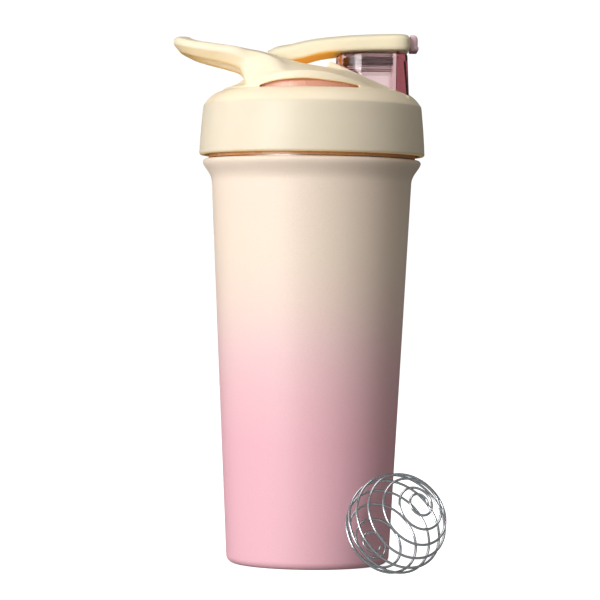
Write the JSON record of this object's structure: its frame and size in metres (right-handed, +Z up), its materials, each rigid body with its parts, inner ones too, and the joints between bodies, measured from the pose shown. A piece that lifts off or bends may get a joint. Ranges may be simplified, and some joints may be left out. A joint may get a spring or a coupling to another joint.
{
  "type": "insulated protein shaker bottle",
  "caption": "Tapered double-walled steel shaker bottle with a screw lid, a flip bar that plugs the spout, a latch button, a carry loop and a wire whisk ball.",
  "frame": {"origin": "centre of the bottle's base, on the surface it stands on", "axes": "+Z up along the bottle's axis, +X from the carry loop towards the spout"},
  "size_m": [0.1238, 0.1208, 0.2401],
  "materials": {
    "powder_coat": "fine matt powder coat fading from cream to pink",
    "liner_steel": "satin drawn steel",
    "base_coat": "fine matt powder coat",
    "plate_steel": "plain steel sheet",
    "plug_metal": "dull metal",
    "getter_metal": "dark sintered metal",
    "lid_plastic": "fine satin moulded plastic",
    "core_plastic": "translucent glossy moulded plastic",
    "gasket_silicone": "soft silicone",
    "pin_steel": "ground steel",
    "spring_steel": "drawn spring wire",
    "bar_plastic": "fine satin moulded plastic",
    "stopper_plastic": "translucent glossy moulded plastic",
    "seal_silicone": "dark silicone",
    "button_plastic": "glossy moulded plastic",
    "button_spring_steel": "drawn spring wire",
    "underplate_plastic": "fine satin moulded plastic",
    "hook_plastic": "moulded plastic",
    "whisk_wire": "bright drawn steel wire"
  },
  "bodies": {
    "bottle": {"outer_shell": "powder_coat", "inner_liner": "liner_steel", "base_cover": "base_coat", "vacuum_base_plate": "plate_steel", "vacuum_plug": "plug_metal", "getter_capsule": "getter_metal"},
    "gasket": {"mouth_gasket": "gasket_silicone"},
    "lid": {"lid_shell": "lid_plastic", "lid_core": "core_plastic", "hinge_pin": "pin_steel", "hinge_spring_left": "spring_steel", "hinge_spring_right": "spring_steel"},
    "cap": {"flip_bar": "bar_plastic", "bar_underplate": "underplate_plastic", "stopper": "stopper_plastic", "spout_seal": "seal_silicone", "button_spring": "button_spring_steel"},
    "button": {"latch_button": "button_plastic", "latch_hook": "hook_plastic"},
    "whisk": {"whisk_ball": "whisk_wire"}
  },
  "joints": [
    {"name": "lid_lift", "type": "slide", "parent": "bottle", "child": "gasket", "axis": [0, 0, 1], "range_m": [0, 0.0281]},
    {"name": "lid_unscrew", "type": "hinge", "parent": "gasket", "child": "lid", "pos_m": [0, 0, 0.19], "axis": [0, 0, 1], "range_deg": [0, 1260]},
    {"name": "cap_open", "type": "hinge", "parent": "lid", "child": "cap", "pos_m": [-0.023, 0, 0.2257], "axis": [0, -1, 0], "range_deg": [0, 105], "deforming": ["hinge_spring_left", "hinge_spring_right"]},
    {"name": "button_press", "type": "slide", "parent": "cap", "child": "button", "axis": [-1, 0, 0], "range_m": [0, 0.001], "stiffness_N_per_m": 400, "deforming": ["button_spring"]},
    {"name": "whisk_lift", "type": "slide", "parent": "bottle", "child": "whisk", "axis": [0.4511, -0.5514, 0.7018], "range_m": [0, 0.25]}
  ],
  "couplings": [
    {"joint": "lid_lift", "follows": "lid_unscrew", "m_per_rad": 0.0012732}
  ]
}
